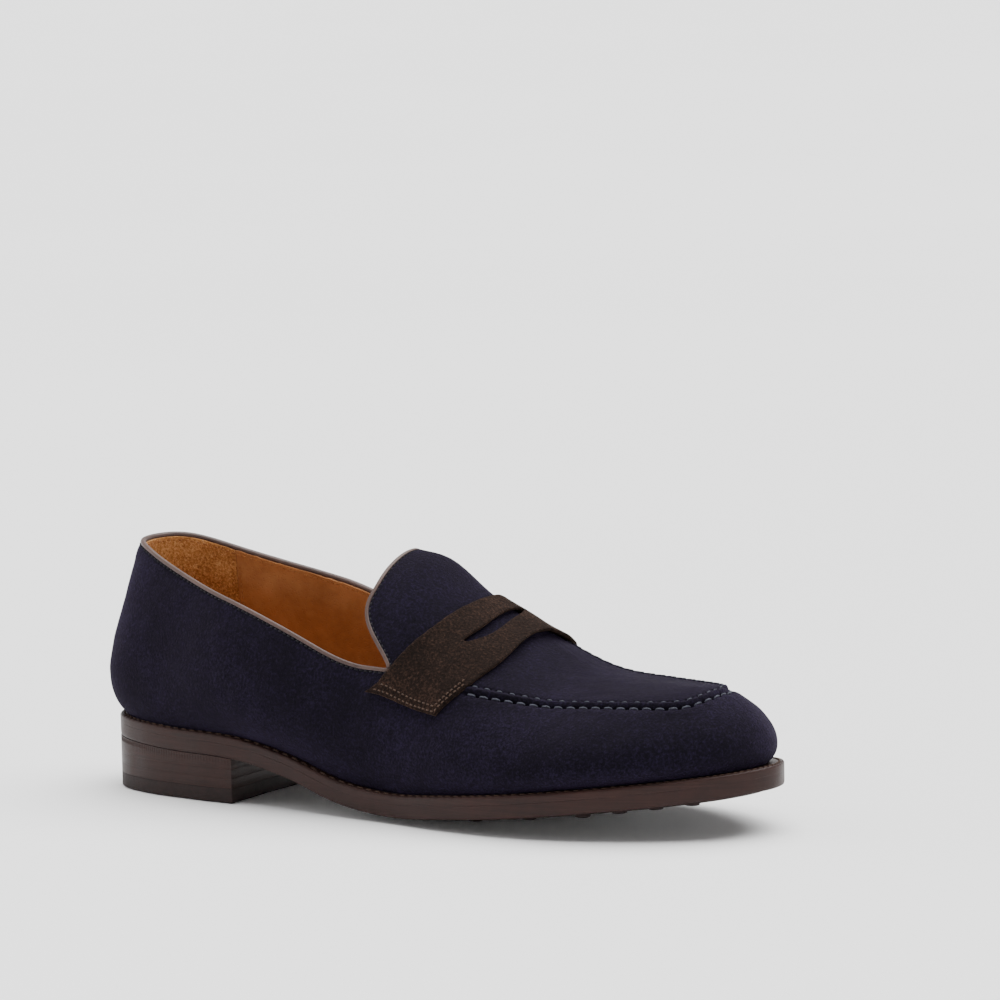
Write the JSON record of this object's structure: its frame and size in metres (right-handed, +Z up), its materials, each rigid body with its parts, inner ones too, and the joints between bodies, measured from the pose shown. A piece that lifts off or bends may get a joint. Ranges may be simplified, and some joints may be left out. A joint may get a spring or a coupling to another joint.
{
  "type": "penny loafer",
  "caption": "Right-foot penny loafer: navy suede upper with apron and tongue, brown suede keeper strap with a slot, welted leather sole and stacked heel.",
  "frame": {"origin": "middle of the shoe's footprint box, on the ground plane that the heel top piece and the ball of the tread stand on", "axes": "+X from heel to toe, +Y towards the inner (medial) side of this right shoe, +Z up"},
  "size_m": [0.3064, 0.1033, 0.1028],
  "materials": {
    "navy_suede": "napped suede",
    "brown_suede": "napped suede",
    "taupe_leather": "satin",
    "tan_leather": "satin",
    "tan_suede": "napped suede",
    "canvas_lining": "woven",
    "sole_leather": "polished",
    "welt_leather": "satin",
    "insole_leather": "matt",
    "black_rubber": "matt",
    "cork": "matt",
    "stiffener_board": "matt",
    "steel": "plain",
    "brass_pin": "plain",
    "slate_thread": "twisted thread",
    "brown_thread": "twisted thread",
    "dark_thread": "twisted thread",
    "tan_thread": "twisted thread"
  },
  "bodies": {
    "root": {"outsole": "sole_leather", "welt": "welt_leather", "welt_stitching": "brown_thread", "forepart_rubber": "black_rubber", "heel_lift_upper": "sole_leather", "heel_lift_middle": "sole_leather", "heel_lift_lower": "sole_leather", "heel_top_piece": "black_rubber", "heel_nails": "steel", "top_piece_pins": "brass_pin", "insole": "insole_leather", "insole_rib": "insole_leather", "cork_filler": "cork", "shank": "steel", "sock_liner": "tan_leather", "vamp_and_quarters": "navy_suede", "apron_and_tongue": "navy_suede", "apron_stitching": "slate_thread", "penny_strap": "brown_suede", "strap_stitching": "brown_thread", "collar_binding": "taupe_leather", "tongue_binding": "taupe_leather", "binding_stitching": "dark_thread", "quarter_lining": "tan_leather", "heel_grip": "tan_suede", "vamp_lining": "canvas_lining", "tongue_lining": "tan_leather", "lining_stitching": "tan_thread", "toe_puff": "stiffener_board", "heel_counter": "stiffener_board"}
  },
  "joints": []
}
